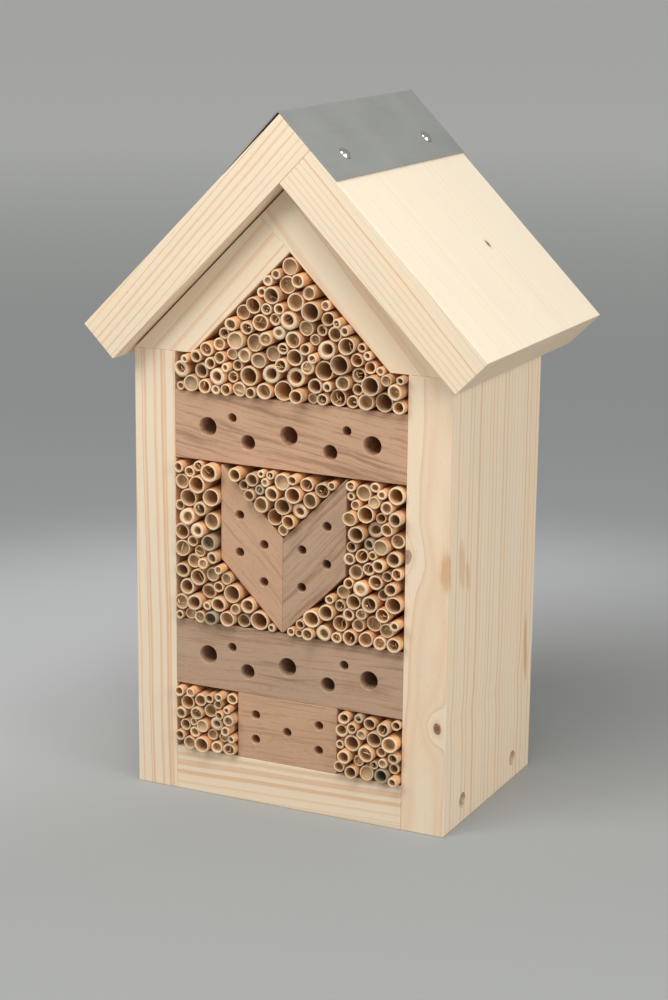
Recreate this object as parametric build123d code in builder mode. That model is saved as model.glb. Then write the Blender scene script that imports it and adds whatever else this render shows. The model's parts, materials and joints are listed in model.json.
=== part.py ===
from build123d import *

import os
from math import cos, hypot, radians, sin, sqrt
from random import Random

# An insect hotel: a gabled box of spruce boards, filled with drilled hardwood
# blocks and bundles of cut reed, under two roof boards and a folded metal ridge cap.
#
# Millimetres. +Z is up, the front faces -Y, and the origin is on the ground under
# the middle of the roof. The roof pitch is 45 degrees on both sides.

# ---------------------------------------------------------------- driving sizes

# Boards
board = 24.0                # thickness of every spruce board
body_width = 180.0          # across the outer faces of the walls
body_depth = 120.0          # width of the boards that make the walls and the floor
sill_height = 20.0          # from the top of the upper beam to the top of the walls
arris = 0.4                 # rounding of the planed edges

# Roof
roof_slope_length = 160.0   # ridge line to eave, along the top of a roof board
roof_front_overhang = 12.0
roof_rear_overhang = 26.0
roof_gap = 0.9              # between the roof boards and the gable boards under them

# Ridge cap
cap_sheet = 0.8
cap_flange = 44.0           # ridge line to lower edge, along a roof board
cap_bend = 0.9              # inside radius of the fold
cap_seat = 0.1              # sheet to wood where the cap lies on the roof
cap_lift = 1.3              # sheet to wood beside the ridge, on the left side
cap_nail_slope = 30.0       # ridge line to the nails
cap_nail_inset = 29.0       # each end of the roof to the nearest nail

# Drilled hardwood
hardwood = 36.0             # thickness of the hardwood stock
stack_gap = 0.5             # under the upper beam, which the walls and back panel hold
chevron_width = 36.0        # level width of each chevron block
chevron_shift = -3.0        # the point of the chevron, from the middle
block_width = 58.0          # block between the floor and the lower beam
bore_depth = 95.0
large_bore = 10.0
medium_bore = 8.0
small_bore = 5.0
bore_margin = 19.2          # a wall's inner face to the first large bore
bore_step = 6.0             # small bores are this far above the large ones
small_bore_shift = 9.2      # small bores sit this far inward of their large ones
chevron_bore_pitch = 20.0   # between the two bores of a row, up the block
chevron_row_pitch = 14.2    # between the two rows, across the block
block_bore_inset = 10.5     # the block's sides to its outer bores
block_bore_rise = 13.6      # between the two bores at each side
bore_mouth = 0.3            # worn edge of each bore

# Reeds
reed_gap = 0.2              # between neighbouring reeds, and from a reed to the wood
reed_back_gap = 0.3         # a reed's rear end to the back panel
reed_proud = 6.5            # how far the longest reeds stand out of the front
reed_usual = 2.8            # how far most of them do
reed_short = 1.0            # how far the shortest end inside it
reed_wall_thin = 0.65
reed_wall_thick = 1.15
reed_stout_wall = 1.9       # wall of the few stout reeds
reed_stout_share = 0.08
reed_stout_least = 3.4      # no thinner reed than this has a stout wall
reed_knot_near = 55.0       # the joint that closes a reed, from its rear end
reed_knot_far = 12.0
reed_knot = 2.0             # thickness of that joint
reed_least = 2.2            # outer radii of the reeds
reed_small = 3.0
reed_middle = 3.9
reed_large = 4.8
reed_largest = 5.3
reed_tries = 12             # reeds in a row that find no place, before the thinner ones
reed_shrink = 0.96          # of the last radius tried, for those

# Back panel
panel = 6.0
panel_inset = 3.0           # the panel's edge, inside the frame's outer edge

# Screws: clearance around a shank, and the sizes of each kind
shank_gap = 0.05
screw_shank = 4.0
screw_head = 7.6
counterbore = 8.4
counterbore_depth = 5.0
end_inset = 25.0            # from the front and back faces to the screws
wall_screw_length = 45.0
foot_screw_length = 40.0
foot_screw_inset = 14.0     # a wall's outer face to the screw in its top
ridge_screw_length = 50.0
ridge_screw_inset = 12.0    # each end of the roof to the nearest ridge screw
roof_screw_length = 35.0
roof_screw_slope = 38.0     # ridge line to the screws into the gable boards
roof_screw_inset = 35.0     # the frame's front and back to the right screws
roof_screw_stagger = 10.0   # the left screws are this much further in, clear of the right
panel_shank = 3.0
panel_head = 6.0
panel_screw_length = 22.0
nail_shank = 2.4
nail_head = 7.4
nail_dome = 1.9
nail_length = 20.0
panel_screw_spread = 0.6    # of the way from the middle to a wall, for the screws in the beams
head_rim = 0.25             # the straight rim of a screw's head, as a share of its height
recess_width = 0.9          # each arm of the cross in a screw's head
recess_span = 0.55          # its length, as a share of the head's width
recess_share = 0.9          # its depth, as a share of the head's height

# Hanger on the back
hanger_sheet = 1.5
hanger_width = 20.0
hanger_foot = 14.0
hanger_bridge = 30.0        # height of the raised middle
hanger_lift = 4.0           # from the panel to the raised middle
hanger_slant = 4.0          # height of each step up to the middle
hanger_top_drop = 62.0      # from the panel's top corner to the hanger's top
keyhole_radius = 4.5
keyhole_slot = 2.3          # half the slot's width
keyhole_slot_length = 9.0
hanger_screw_length = 7.0

# -------------------------------------------------------------- derived places

slope = radians(45)
half = body_width / 2
inner = half - board
roof_depth = body_depth + roof_front_overhang + roof_rear_overhang
front = -roof_depth / 2 + roof_front_overhang
back = front + body_depth
roof_front = -roof_depth / 2
board_level = board / sin(slope)    # a sloped board, measured on the level

floor_top = board
lower_beam = floor_top + hardwood
lower_beam_top = lower_beam + hardwood
chevron_side = hardwood / cos(slope)    # upright edge of a chevron block
chevron_top = lower_beam_top + chevron_width + chevron_side
upper_beam = chevron_top + stack_gap
upper_beam_top = upper_beam + hardwood
wall_height = upper_beam_top + sill_height

gable_apex = wall_height + half
gable_inner_apex = gable_apex - board_level
gable_foot = half - board_level
roof_inner_apex = gable_apex + roof_gap / cos(slope)
ridge = roof_inner_apex + board_level

chevron_left = chevron_shift - chevron_width
chevron_right = chevron_shift + chevron_width


def front_plane(y):
    """A plane across the hotel at depth y: its x is X, its y is Z, its normal is -Y."""
    return Plane(origin=(0, y, 0), x_dir=(1, 0, 0), z_dir=(0, -1, 0))


def slope_point(side, along, depth):
    """A point of the section by its place on a roof slope.

    side is 1 for the right slope and -1 for the left, along is the distance from the
    ridge line down the slope, and depth is how far in it is from the top surface.
    """
    x = along * cos(slope) - depth * sin(slope)
    return side * x, ridge - along * sin(slope) - depth * cos(slope)


def gable_along(along):
    """Distance down a roof slope of a place that far down the gable board under it."""
    return along + board + roof_gap


# ------------------------------------------------------------------ shape tools


def board_from(corners, start, depth):
    """A planed board: a section of the given corners, from depth start to the back."""
    with BuildPart() as made:
        with BuildSketch(front_plane(start)):
            with BuildLine():
                Polyline(*corners, close=True)
            make_face()
        extrude(amount=-depth)
        fillet(made.edges(), radius=arris)
    return made.part


def drilled(corners, bores):
    """A hardwood piece with blind bores, each (x, z, diameter), in its front face."""
    with BuildPart() as made:
        add(board_from(corners, front, body_depth))
        for x, z, diameter in bores:
            with Locations(front_plane(front).location * Pos(x, z)):
                CounterSinkHole(diameter / 2, diameter / 2 + bore_mouth, depth=bore_depth)
    return made.part


def screw(length, shank, head):
    """A countersunk screw with its head's top at the origin, pointing down -Z."""
    head_height = (head - shank) / 2
    with BuildPart() as made:
        with BuildSketch(Plane.XZ):
            with BuildLine():
                Polyline(
                    (0, 0), (head / 2, 0), (head / 2, -head_height * head_rim),
                    (shank / 2, -head_height), (shank / 2, -length + shank), (0, -length),
                    close=True,
                )
            make_face()
        revolve(axis=Axis.Z)
        with BuildSketch(Plane.XY):
            for turn in (0, 90):
                Rectangle(head * recess_span, recess_width, rotation=turn)
        extrude(amount=-head_height * recess_share, mode=Mode.SUBTRACT)
    return made.part


def dome_nail(length):
    """A nail with a domed head, whose underside is at the origin, pointing down -Z."""
    sphere = (nail_head ** 2 / 4 + nail_dome ** 2) / (2 * nail_dome)
    with BuildPart() as made:
        with BuildSketch(Plane.XZ):
            with BuildLine():
                Line((0, nail_dome), (0, -length))
                Line((0, -length), (nail_shank / 2, -length + nail_shank))
                Line((nail_shank / 2, -length + nail_shank), (nail_shank / 2, 0))
                Line((nail_shank / 2, 0), (nail_head / 2, 0))
                RadiusArc((nail_head / 2, 0), (0, nail_dome), -sphere)
            make_face()
        revolve(axis=Axis.Z)
    return made.part


def holes_at(places, radius, depth):
    """Cuts a round hole down -Z of each place from the part being made."""
    for place in places:
        with Locations(place):
            Cylinder(
                radius, depth, align=(Align.CENTER, Align.CENTER, Align.MAX), mode=Mode.SUBTRACT
            )


def shank_holes(places, shank, length):
    """Cuts the pilot holes that the given screws or nails run in."""
    holes_at(places, shank / 2 + shank_gap, length + shank_gap)


def head_seats(places, shank, head):
    """Cuts the cone that each countersunk head sits in, flush at its place."""
    height = (head - shank) / 2
    rim = height * head_rim + shank_gap
    holes_at(places, head / 2 + shank_gap, rim)
    for place in places:
        with Locations(place * Pos(0, 0, -rim)):
            Cone(
                shank / 2 + shank_gap, head / 2 + shank_gap, height * (1 - head_rim),
                align=(Align.CENTER, Align.CENTER, Align.MAX), mode=Mode.SUBTRACT,
            )


def placed(piece, places):
    """Copies of a piece, one at each place."""
    return [place * piece for place in places]


def facing(x, y, z, normal):
    """A place whose +Z points along normal."""
    return Plane(origin=(x, y, z), z_dir=normal).location


# ------------------------------------------------------------ where screws sit

end_depths = (front + end_inset, back - end_inset)
wall_screw_x = half - counterbore_depth
foot_screw_x = half - foot_screw_inset
foot_bore_low = wall_height + foot_screw_inset - counterbore / 2 - (screw_head - screw_shank) / 2

wall_screws_at = [
    facing(side * wall_screw_x, y, board / 2, (side, 0, 0)) for side in (-1, 1) for y in end_depths
]
foot_screws_at = [
    facing(side * foot_screw_x, y, foot_bore_low, (0, 0, 1)) for side in (-1, 1) for y in end_depths
]


def on_slope(side, along, depth, y):
    """A place on a slope, at depth under the roof's top surface, facing out of it."""
    x, z = slope_point(side, along, depth)
    return facing(x, y, z, (side * sin(slope), 0, cos(slope)))


apex_screws_at = [on_slope(1, gable_along(board / 2), board + roof_gap, y) for y in end_depths]
ridge_screw_depths = (
    roof_front + ridge_screw_inset,
    0.0,
    roof_front + roof_depth - ridge_screw_inset,
)
ridge_screws_at = [on_slope(-1, board / 2, 0, y) for y in ridge_screw_depths]
roof_screw_insets = {1: roof_screw_inset, -1: roof_screw_inset + roof_screw_stagger}
roof_screws_at = [
    on_slope(side, roof_screw_slope, 0, y)
    for side, inset in roof_screw_insets.items()
    for y in (front + inset, back - inset)
]

# The cap's left flange leaves the ridge raised by cap_lift and comes down to the wood
# at its lower edge, so its nails lean with it.
lean = (cap_lift - cap_seat) / cap_flange
nail_depths = (roof_front + cap_nail_inset, roof_front + roof_depth - cap_nail_inset)
nail_lift = {1: cap_seat, -1: cap_lift - lean * cap_nail_slope}
nails_at = [
    on_slope(side, cap_nail_slope, -nail_lift[side] - cap_sheet - 2 * shank_gap, y)
    for side in (-1, 1)
    for y in nail_depths
]

beam_middles = (lower_beam + hardwood / 2, upper_beam + hardwood / 2)
chevron_middle = lower_beam_top + (chevron_width + chevron_side) / 2
panel_screw_points = [
    (side * x, z)
    for side in (-1, 1)
    for x, z in (
        (half - board / 2, lower_beam_top),
        (half - board / 2, wall_height - sill_height),
        (inner / 2, board / 2),
        (inner * panel_screw_spread, beam_middles[0]),
        (inner * panel_screw_spread, beam_middles[1]),
        (half / 2, gable_apex - half / 2 - board_level / 2),
    )
]
panel_screws_at = [facing(x, back + panel, z, (0, 1, 0)) for x, z in panel_screw_points]

# ------------------------------------------------------------------- the boards

with BuildPart() as base_board:
    add(board_from([(-inner, 0), (inner, 0), (inner, board), (-inner, board)], front, body_depth))
    shank_holes(wall_screws_at, screw_shank, wall_screw_length)
    shank_holes(panel_screws_at, panel_shank, panel_screw_length)


def wall(side):
    """A side wall, with its counterbored screws and the pilot holes in its top."""
    section = [(inner, 0), (half, 0), (half, wall_height), (inner, wall_height)]
    corners = [(side * x, z) for x, z in section]
    with BuildPart() as made:
        add(board_from(corners, front, body_depth))
        mouths = [place * Pos(0, 0, counterbore_depth) for place in wall_screws_at]
        holes_at(mouths, counterbore / 2, counterbore_depth)
        head_seats(wall_screws_at, screw_shank, screw_head)
        shank_holes(wall_screws_at, screw_shank, wall_screw_length)
        shank_holes(foot_screws_at, screw_shank, foot_screw_length)
        shank_holes(panel_screws_at, panel_shank, panel_screw_length)
    return made.part


with BuildPart() as left_wall:
    add(wall(-1))

with BuildPart() as right_wall:
    add(wall(1))

gable_shoulder = (-board * cos(slope), gable_apex - board * sin(slope))


def gable_board(corners):
    """A sloped frame board, bored for its foot, apex, roof and back panel screws."""
    with BuildPart() as made:
        add(board_from(corners, front, body_depth))
        mouths = [place * Pos(0, 0, board) for place in foot_screws_at]
        holes_at(mouths, counterbore / 2, board)
        head_seats(foot_screws_at, screw_shank, screw_head)
        shank_holes(foot_screws_at, screw_shank, foot_screw_length)
        head_seats(apex_screws_at, screw_shank, screw_head)
        shank_holes(apex_screws_at, screw_shank, ridge_screw_length)
        shank_holes(roof_screws_at, screw_shank, roof_screw_length)
        shank_holes(panel_screws_at, panel_shank, panel_screw_length)
    return made.part


with BuildPart() as left_gable_board:
    add(gable_board([
        (-half, wall_height), (-gable_foot, wall_height), (0, gable_inner_apex), gable_shoulder,
    ]))

with BuildPart() as right_gable_board:
    add(gable_board([
        (half, wall_height), (gable_foot, wall_height), gable_shoulder, (0, gable_apex),
    ]))


def roof_board(corners):
    """A roof board, bored for the screws and nails under the ridge cap."""
    with BuildPart() as made:
        add(board_from(corners, roof_front, roof_depth))
        head_seats(ridge_screws_at + roof_screws_at, screw_shank, screw_head)
        shank_holes(ridge_screws_at, screw_shank, ridge_screw_length)
        shank_holes(roof_screws_at, screw_shank, roof_screw_length)
        shank_holes(nails_at, nail_shank, nail_length)
    return made.part


with BuildPart() as left_roof_board:
    add(roof_board([
        slope_point(-1, 0, 0), slope_point(-1, roof_slope_length, 0),
        slope_point(-1, roof_slope_length, board), slope_point(1, board, 0),
    ]))

with BuildPart() as right_roof_board:
    add(roof_board([
        slope_point(1, board, 0), slope_point(1, roof_slope_length, 0),
        slope_point(1, roof_slope_length, board), (0, roof_inner_apex),
    ]))

# ---------------------------------------------------------------- the ridge cap


def fold_corner(right_lift, left_lift):
    """Where two lines parallel to the slopes meet, each lifted off its slope."""
    return (right_lift - left_lift) * sin(slope), ridge + (right_lift + left_lift) * cos(slope)


cap_inner = [
    slope_point(1, cap_flange, -cap_seat),
    fold_corner(cap_seat, cap_lift),
    slope_point(-1, cap_flange, -cap_seat),
]
cap_outer = [
    slope_point(1, cap_flange, -cap_seat - cap_sheet),
    fold_corner(cap_seat + cap_sheet, cap_lift + cap_sheet),
    slope_point(-1, cap_flange, -cap_seat - cap_sheet),
]

with BuildPart() as ridge_cap:
    with BuildSketch(front_plane(roof_front)):
        with BuildLine():
            inside = FilletPolyline(*cap_inner, radius=cap_bend)
            outside = FilletPolyline(*cap_outer, radius=cap_bend + cap_sheet)
            Line(inside @ 0, outside @ 0)
            Line(inside @ 1, outside @ 1)
        make_face()
    extrude(amount=-roof_depth)
    shank_holes([place * Pos(0, 0, nail_dome) for place in nails_at], nail_shank, nail_length)

with BuildPart() as ridge_cap_nails:
    add(placed(dome_nail(nail_length), nails_at))

# --------------------------------------------------------- drilled hardwood

bore_pitch = (inner - bore_margin) / 2


def beam(bottom):
    """A drilled beam across the whole inside, with bores of three sizes."""
    middle = bottom + hardwood / 2
    bores = [(place * bore_pitch, middle, large_bore) for place in (-2, 0, 2)]
    bores += [(place * bore_pitch, middle - bore_step, medium_bore) for place in (-1, 1)]
    small_x = 2 * bore_pitch - small_bore_shift - small_bore
    bores += [(side * small_x, middle + bore_step, small_bore) for side in (-1, 1)]
    top = bottom + hardwood
    with BuildPart() as made:
        add(drilled([(-inner, bottom), (inner, bottom), (inner, top), (-inner, top)], bores))
        shank_holes(panel_screws_at, panel_shank, panel_screw_length)
    return made.part


with BuildPart() as lower_beam_block:
    add(beam(lower_beam))

with BuildPart() as upper_beam_block:
    add(beam(upper_beam))


def chevron_block(side):
    """One half of the chevron: hardwood cut off upright at both ends, leaning outward."""
    outer_x = chevron_shift + side * chevron_width
    low = lower_beam_top
    rise = chevron_width * sin(slope) / cos(slope)
    corners = [
        (chevron_shift, low), (outer_x, low + rise),
        (outer_x, low + rise + chevron_side), (chevron_shift, low + chevron_side),
    ]
    middle_x = chevron_shift + side * chevron_width / 2
    bores = [
        (
            middle_x + side * row * chevron_row_pitch / 2,
            chevron_middle + (row * chevron_row_pitch + up * chevron_bore_pitch) / 2,
            small_bore,
        )
        for row in (-1, 1)
        for up in (-1, 1)
    ]
    with BuildPart() as made:
        add(drilled(corners, bores))
    return made.part


with BuildPart() as left_chevron_block:
    add(chevron_block(-1))

with BuildPart() as right_chevron_block:
    add(chevron_block(1))

with BuildPart() as middle_block:
    block_half = block_width / 2
    block_middle = floor_top + hardwood / 2
    side_bores = [
        (side * (block_half - block_bore_inset), block_middle + up * block_bore_rise / 2, small_bore)
        for side in (-1, 1)
        for up in (-1, 1)
    ]
    section = [
        (-block_half, floor_top), (block_half, floor_top), (block_half, lower_beam),
        (-block_half, lower_beam),
    ]
    add(drilled(section, side_bores + [(0, block_middle, small_bore)]))

# -------------------------------------------------------------------- the reeds

tiny = 1e-6                 # below this, two places or two directions are the same
touch = 1e-4                # a smaller overlap than this is only touching


def edge_distance(point, start, end):
    """Distance of a point from a straight edge."""
    run = (end[0] - start[0], end[1] - start[1])
    offset = (point[0] - start[0], point[1] - start[1])
    share = (offset[0] * run[0] + offset[1] * run[1]) / (run[0] ** 2 + run[1] ** 2)
    share = min(1.0, max(0.0, share))
    return hypot(offset[0] - share * run[0], offset[1] - share * run[1])


def is_inside(point, outline):
    """Whether a level line from the point to the right crosses the outline an odd number of times."""
    crossings = 0
    for (x1, z1), (x2, z2) in zip(outline, outline[1:] + outline[:1]):
        if (z1 > point[1]) != (z2 > point[1]):
            crossings += x1 + (point[1] - z1) * (x2 - x1) / (z2 - z1) > point[0]
    return crossings % 2 == 1


def touching_two(first, second):
    """The two centres that lie at given distances from two points: (x, z, distance)."""
    (x1, z1, reach1), (x2, z2, reach2) = first, second
    apart = hypot(x2 - x1, z2 - z1)
    if apart < tiny or apart > reach1 + reach2 or apart < abs(reach1 - reach2):
        return []
    along = (apart ** 2 + reach1 ** 2 - reach2 ** 2) / (2 * apart)
    off = sqrt(max(0.0, reach1 ** 2 - along ** 2))
    unit = ((x2 - x1) / apart, (z2 - z1) / apart)
    return [
        (x1 + along * unit[0] - turn * off * unit[1], z1 + along * unit[1] + turn * off * unit[0])
        for turn in (-1, 1)
    ]


def offset_line(start, end, offset):
    """An edge of an anticlockwise outline, moved inward: a point on it and its direction."""
    length = hypot(end[0] - start[0], end[1] - start[1])
    unit = ((end[0] - start[0]) / length, (end[1] - start[1]) / length)
    return (start[0] - offset * unit[1], start[1] + offset * unit[0]), unit


def line_and_circle(line, circle):
    """The places on a line at a given distance from a circle's centre."""
    (px, pz), (ux, uz) = line
    x, z, reach = circle
    middle = (x - px) * ux + (z - pz) * uz
    off = hypot(px + middle * ux - x, pz + middle * uz - z)
    if off > reach:
        return []
    swing = sqrt(reach ** 2 - off ** 2)
    return [(px + s * ux, pz + s * uz) for s in (middle - swing, middle + swing)]


def line_and_line(first, second):
    """Where two lines cross."""
    (px, pz), (ux, uz) = first
    (qx, qz), (vx, vz) = second
    cross = ux * vz - uz * vx
    if abs(cross) < tiny:
        return []
    s = ((qx - px) * vz - (qz - pz) * vx) / cross
    return [(px + s * ux, pz + s * uz)]


def resting_places(radius, outline, circles):
    """Centres where a circle of that radius touches two things and overlaps none."""
    edges = list(zip(outline, outline[1:] + outline[:1]))
    lines = [offset_line(start, end, radius) for start, end in edges]
    reaches = [(x, z, r + radius) for x, z, r in circles] + [(x, z, radius) for x, z in outline]
    found = []
    for i, first in enumerate(reaches):
        for second in reaches[:i]:
            if abs(first[0] - second[0]) < first[2] + second[2]:
                found += touching_two(first, second)
        for line in lines:
            found += line_and_circle(line, first)
    for i, first in enumerate(lines):
        for second in lines[:i]:
            found += line_and_line(first, second)
    return [
        (x, z)
        for x, z in found
        if is_inside((x, z), outline)
        and all(hypot(x - cx, z - cz) > r + radius - touch for cx, cz, r in circles)
        and all(edge_distance((x, z), start, end) > radius - touch for start, end in edges)
    ]


def stuffed(outline, sizes, seed):
    """Reeds laid one by one on the lowest free place, then thinner ones pushed into the rest.

    sizes are (least radius, greatest radius, weight) of the kinds of reed. Each result is
    (x, z, outer radius).
    """
    choice = Random(seed)
    circles = []
    misses = 0
    while misses < reed_tries:
        low, high, _ = choice.choices(sizes, weights=[weight for _, _, weight in sizes])[0]
        radius = choice.uniform(low, high) + reed_gap / 2
        places = resting_places(radius, outline, circles)
        if places:
            x, z = min(places, key=lambda place: place[1])
            circles.append((x, z, radius))
        else:
            misses += 1
    radius = reed_middle + reed_gap / 2
    while radius > reed_least + reed_gap / 2:
        places = resting_places(radius, outline, circles)
        if places:
            x, z = min(places, key=lambda place: place[1])
            circles.append((x, z, radius))
        else:
            radius *= reed_shrink
    return [(x, z, radius - reed_gap / 2) for x, z, radius in circles]


def reed(x, z, radius, choice):
    """A cut reed lying front to back, open at the front and closed by a joint further in."""
    wall_thickness = choice.uniform(reed_wall_thin, reed_wall_thick)
    if radius > reed_stout_least and choice.random() < reed_stout_share:
        wall_thickness = reed_stout_wall
    start = front - choice.triangular(-reed_short, reed_proud, reed_usual)
    end = back - reed_back_gap
    knot_face = end - choice.uniform(reed_knot_far, reed_knot_near)
    with BuildPart() as made:
        with BuildSketch(front_plane(start)):
            with Locations((x, z)):
                Circle(radius)
        extrude(amount=start - end)
        with BuildSketch(front_plane(start)):
            with Locations((x, z)):
                Circle(radius - wall_thickness)
        extrude(amount=start - knot_face, mode=Mode.SUBTRACT)
        with BuildSketch(front_plane(knot_face + reed_knot)):
            with Locations((x, z)):
                Circle(radius - wall_thickness)
        extrude(amount=knot_face + reed_knot - end, mode=Mode.SUBTRACT)
    return made.part


def bundle(outline, sizes, seed):
    """All the reeds of one space."""
    choice = Random(seed + 1)
    return [reed(x, z, radius, choice) for x, z, radius in stuffed(outline, sizes, seed)]


mixed_sizes = [
    (reed_least, reed_small, 1), (reed_small, reed_middle, 4), (reed_middle, reed_large, 5),
    (reed_large, reed_largest, 1),
]
middling_sizes = [
    (reed_least, reed_small, 1), (reed_small, reed_middle, 4), (reed_middle, reed_large, 3),
]
thin_sizes = [
    (reed_least, reed_small, 3), (reed_small, reed_middle, 5), (reed_middle, reed_large, 1),
]
chevron_foot = lower_beam_top + chevron_width

gable_space = [
    (-inner, upper_beam_top), (inner, upper_beam_top), (inner, wall_height),
    (gable_foot, wall_height), (0, gable_inner_apex), (-gable_foot, wall_height),
    (-inner, wall_height),
]
left_space = [
    (-inner, lower_beam_top), (chevron_shift, lower_beam_top), (chevron_left, chevron_foot),
    (chevron_left, upper_beam), (-inner, upper_beam),
]
right_space = [
    (chevron_shift, lower_beam_top), (inner, lower_beam_top), (inner, upper_beam),
    (chevron_right, upper_beam), (chevron_right, chevron_foot),
]
chevron_space = [
    (chevron_shift, lower_beam_top + chevron_side), (chevron_right, chevron_top),
    (chevron_left, chevron_top),
]
lower_left_space = [
    (-inner, floor_top), (-block_half, floor_top), (-block_half, lower_beam), (-inner, lower_beam),
]
lower_right_space = [
    (block_half, floor_top), (inner, floor_top), (inner, lower_beam), (block_half, lower_beam),
]

with BuildPart() as gable_reeds:
    add(bundle(gable_space, mixed_sizes, 11))

with BuildPart() as left_reeds:
    add(bundle(left_space, mixed_sizes, 23))

with BuildPart() as right_reeds:
    add(bundle(right_space, middling_sizes, 37))

with BuildPart() as chevron_reeds:
    add(bundle(chevron_space, mixed_sizes, 41))

with BuildPart() as lower_left_reeds:
    add(bundle(lower_left_space, thin_sizes, 53))

with BuildPart() as lower_right_reeds:
    add(bundle(lower_right_space, middling_sizes, 67))

# ------------------------------------------------------ back panel and hanger

panel_half = half - panel_inset
panel_shoulder = wall_height + half - panel_inset / sin(slope) - panel_half
panel_apex = panel_shoulder + panel_half
hanger_top = panel_apex - hanger_top_drop
hanger_height = 2 * hanger_foot + 2 * hanger_slant + hanger_bridge
hanger_screw_z = (hanger_top - hanger_foot / 2, hanger_top - hanger_height + hanger_foot / 2)
hanger_screws_at = [
    facing(0, back + panel + hanger_sheet, z, (0, 1, 0)) for z in hanger_screw_z
]

with BuildPart() as back_panel:
    add(board_from(
        [
            (-panel_half, panel_inset), (panel_half, panel_inset), (panel_half, panel_shoulder),
            (0, panel_apex), (-panel_half, panel_shoulder),
        ],
        back, panel,
    ))
    head_seats(panel_screws_at, panel_shank, panel_head)
    shank_holes(panel_screws_at, panel_shank, panel_screw_length)
    shank_holes(hanger_screws_at, panel_shank, hanger_screw_length)


def strip(lift):
    """One face of the hanger, from its top end to its lower end, as (y, z) points."""
    y = back + panel
    steps = [
        (0, hanger_foot), (hanger_lift, hanger_slant), (hanger_lift, hanger_bridge), (0, hanger_slant),
        (0, hanger_foot),
    ]
    z = hanger_top
    points = [(y + lift, z)]
    for offset, drop in steps:
        z -= drop
        points.append((y + offset + lift, z))
    return points


with BuildPart() as hanger_plate:
    with BuildSketch(Plane.YZ.offset(-hanger_width / 2)):
        with BuildLine():
            Polyline(*strip(0), *reversed(strip(hanger_sheet)), close=True)
        make_face()
    extrude(amount=hanger_width)
    keyhole_z = hanger_top - hanger_height / 2 - keyhole_slot_length / 2
    with BuildSketch(front_plane(back + panel + hanger_lift + 2 * hanger_sheet)):
        with Locations((0, keyhole_z)):
            Circle(keyhole_radius)
        with Locations((0, keyhole_z + keyhole_slot_length / 2)):
            Rectangle(2 * keyhole_slot, keyhole_slot_length)
        with Locations((0, keyhole_z + keyhole_slot_length)):
            Circle(keyhole_slot)
    extrude(amount=3 * hanger_sheet, mode=Mode.SUBTRACT)
    head_seats(hanger_screws_at, panel_shank, panel_head)
    shank_holes(hanger_screws_at, panel_shank, hanger_screw_length)

# --------------------------------------------------------------- the fasteners

with BuildPart() as wall_screws:
    add(placed(screw(wall_screw_length, screw_shank, screw_head), wall_screws_at))

with BuildPart() as gable_foot_screws:
    add(placed(screw(foot_screw_length, screw_shank, screw_head), foot_screws_at))

with BuildPart() as gable_apex_screws:
    add(placed(screw(ridge_screw_length, screw_shank, screw_head), apex_screws_at))

with BuildPart() as ridge_screws:
    add(placed(screw(ridge_screw_length, screw_shank, screw_head), ridge_screws_at))

with BuildPart() as roof_screws:
    add(placed(screw(roof_screw_length, screw_shank, screw_head), roof_screws_at))

with BuildPart() as back_panel_screws:
    add(placed(screw(panel_screw_length, panel_shank, panel_head), panel_screws_at))

with BuildPart() as hanger_screws:
    add(placed(screw(hanger_screw_length, panel_shank, panel_head), hanger_screws_at))

# ------------------------------------------------------------------- the files

nodes = {
    "base_board": base_board,
    "left_wall": left_wall,
    "right_wall": right_wall,
    "left_gable_board": left_gable_board,
    "right_gable_board": right_gable_board,
    "left_roof_board": left_roof_board,
    "right_roof_board": right_roof_board,
    "ridge_cap": ridge_cap,
    "ridge_cap_nails": ridge_cap_nails,
    "lower_beam": lower_beam_block,
    "upper_beam": upper_beam_block,
    "left_chevron_block": left_chevron_block,
    "right_chevron_block": right_chevron_block,
    "middle_block": middle_block,
    "gable_reeds": gable_reeds,
    "left_reeds": left_reeds,
    "right_reeds": right_reeds,
    "chevron_reeds": chevron_reeds,
    "lower_left_reeds": lower_left_reeds,
    "lower_right_reeds": lower_right_reeds,
    "back_panel": back_panel,
    "hanger_plate": hanger_plate,
    "wall_screws": wall_screws,
    "gable_foot_screws": gable_foot_screws,
    "gable_apex_screws": gable_apex_screws,
    "ridge_screws": ridge_screws,
    "roof_screws": roof_screws,
    "back_panel_screws": back_panel_screws,
    "hanger_screws": hanger_screws,
}

os.makedirs("parts", exist_ok=True)
for name, builder in nodes.items():
    builder.part.label = name
    export_step(builder.part, f"parts/{name}.step")
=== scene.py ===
"""Finishes for the insect hotel: wood grain, cut reeds, folded zinc and a small studio.

Places and lengths are in metres, as the frame's are. The patterns inside the finishes are
in millimetres, because growth rings, fibres and pores are that small.
"""

import json
from math import radians, sqrt, tau
from typing import NamedTuple

import bpy
import numpy as np
from bpy.props import FloatProperty, FloatVectorProperty, IntProperty, PointerProperty
from bpy.types import Operator, Panel, PropertyGroup
from mathutils import Matrix, Vector

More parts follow.
